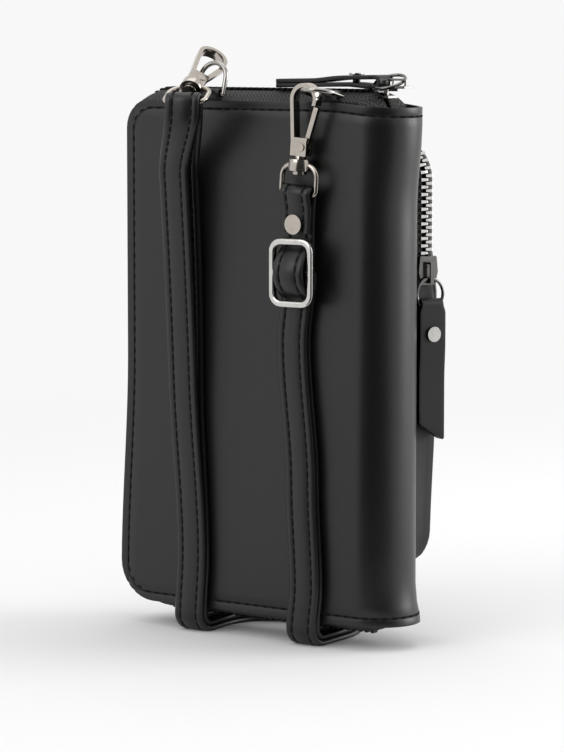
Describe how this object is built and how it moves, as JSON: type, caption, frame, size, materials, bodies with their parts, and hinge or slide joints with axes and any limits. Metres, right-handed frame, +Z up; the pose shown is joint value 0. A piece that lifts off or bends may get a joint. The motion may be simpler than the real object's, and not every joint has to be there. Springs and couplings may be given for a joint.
{
  "type": "phone pouch",
  "caption": "Zip-around faux-leather phone pouch with card slots, a flared zip pocket and an adjustable clip-on shoulder strap",
  "frame": {"origin": "middle of the footprint box on the surface that the strap lies on", "axes": "+X from the zip side to the spine, +Y from the plain back panel to the front pocket, +Z up"},
  "size_m": [0.1246, 0.0744, 0.2188],
  "materials": {
    "lining": "fine woven lining, matt",
    "board": "stiffener, hidden",
    "silver_teeth": "bright silver",
    "black_teeth": "black moulded, satin",
    "zip_tape": "black herringbone tape",
    "gunmetal": "dark bright gunmetal",
    "silver": "bright silver",
    "nickel": "warm pale nickel, satin",
    "strap_leather": "smooth black, folded and stitched",
    "leather": "smooth black with a fine grain, satin"
  },
  "bodies": {
    "back_half": {"back_cover": "leather", "back_board": "board", "back_lining": "lining", "card_panel_1": "lining", "card_panel_2": "lining", "card_panel_3": "lining", "card_panel_4": "lining", "back_zip_tape": "zip_tape", "back_zip_teeth": "black_teeth", "left_ring_tab": "leather", "right_ring_tab": "leather", "left_swivel_eye": "nickel", "right_swivel_eye": "nickel", "strap_left_loop": "strap_leather", "strap_left_outer": "strap_leather", "strap_left_inner": "strap_leather", "strap_right_outer": "strap_leather", "strap_right_inner": "strap_leather", "strap_bight_lower": "strap_leather", "strap_bight_upper": "strap_leather", "strap_fixed_loop": "strap_leather", "strap_rivet": "nickel"},
    "front_half": {"front_cover": "leather", "front_board": "board", "front_lining": "lining", "phone_sleeve": "lining", "front_zip_tape": "zip_tape", "front_zip_teeth": "black_teeth", "pocket_gusset": "leather", "pocket_front": "leather", "pocket_back_tape": "zip_tape", "pocket_front_tape": "zip_tape", "pocket_back_teeth": "silver_teeth", "pocket_front_teeth": "silver_teeth"},
    "main_slider": {"main_slider": "gunmetal"},
    "main_pull": {"main_pull_ring": "gunmetal", "main_pull_tab": "leather", "main_pull_rivet": "nickel"},
    "pocket_slider": {"pocket_slider": "gunmetal"},
    "pocket_pull": {"pocket_pull_ring": "gunmetal", "pocket_pull_tab": "leather", "pocket_pull_rivet": "nickel"},
    "left_hook": {"left_hook_body": "nickel", "left_gate_pin": "nickel"},
    "left_gate": {"left_hook_gate": "nickel"},
    "right_hook": {"right_hook_body": "nickel", "right_gate_pin": "nickel"},
    "right_gate": {"right_hook_gate": "nickel"},
    "left_ring": {"left_d_ring": "nickel"},
    "right_ring": {"right_d_ring": "nickel"},
    "strap_slide": {"strap_slide": "silver", "strap_slide_loop": "strap_leather"}
  },
  "joints": [
    {"name": "cover_open", "type": "hinge", "parent": "back_half", "child": "front_half", "pos_m": [0.06226, 0.00257, 0.0091], "axis": [0, 0, -1], "range_deg": [0, 110]},
    {"name": "main_zip_slide", "type": "slide", "parent": "back_half", "child": "main_slider", "axis": [-1, 0, 0], "range_m": [0, 0.02], "deforming": ["back_zip_teeth", "front_zip_teeth"]},
    {"name": "main_pull_swing", "type": "hinge", "parent": "main_slider", "child": "main_pull", "pos_m": [0.05696, 0.00257, 0.20575], "axis": [0, 1, 0], "range_deg": [0, 140]},
    {"name": "pocket_zip_slide", "type": "slide", "parent": "front_half", "child": "pocket_slider", "axis": [0, 0, 1], "range_m": [0, 0.026], "deforming": ["pocket_back_teeth", "pocket_front_teeth"]},
    {"name": "pocket_pull_swing", "type": "hinge", "parent": "pocket_slider", "child": "pocket_pull", "pos_m": [0.05294, 0.02659, 0.1338], "axis": [-0.3939, -0.9191, 0], "range_deg": [0, 120]},
    {"name": "left_hook_swivel", "type": "hinge", "parent": "back_half", "child": "left_hook", "pos_m": [-0.01924, -0.02293, 0.2036], "axis": [-0.3074, 0.8446, 0.4384], "range_deg": [-8, 8]},
    {"name": "left_gate_open", "type": "hinge", "parent": "left_hook", "child": "left_gate", "pos_m": [-0.02038, -0.01691, 0.2058], "axis": [0.6498, -0.1503, 0.7451], "range_deg": [0, 12], "stiffness_Nm_per_rad": 0.01, "springref_deg": -17.19},
    {"name": "left_ring_swing", "type": "hinge", "parent": "back_half", "child": "left_ring", "pos_m": [-0.01824, -0.01293, 0.2013], "axis": [1, 0, 0], "range_deg": [-4, 4]},
    {"name": "right_hook_swivel", "type": "hinge", "parent": "back_half", "child": "right_hook", "pos_m": [0.02646, -0.01843, 0.17655], "axis": [0.0698, 0, 0.9976], "range_deg": [0, 8]},
    {"name": "right_gate_open", "type": "hinge", "parent": "right_hook", "child": "right_gate", "pos_m": [0.02811, -0.01843, 0.18285], "axis": [0, -1, 0], "range_deg": [0, 18], "stiffness_Nm_per_rad": 0.01, "springref_deg": -17.19},
    {"name": "right_ring_swing", "type": "hinge", "parent": "back_half", "child": "right_ring", "pos_m": [0.03506, -0.01293, 0.2013], "axis": [1, 0, 0], "range_deg": [0, 8]},
    {"name": "strap_slide_travel", "type": "slide", "parent": "back_half", "child": "strap_slide", "axis": [0, 0, -1], "range_m": [0, 0.03]}
  ]
}
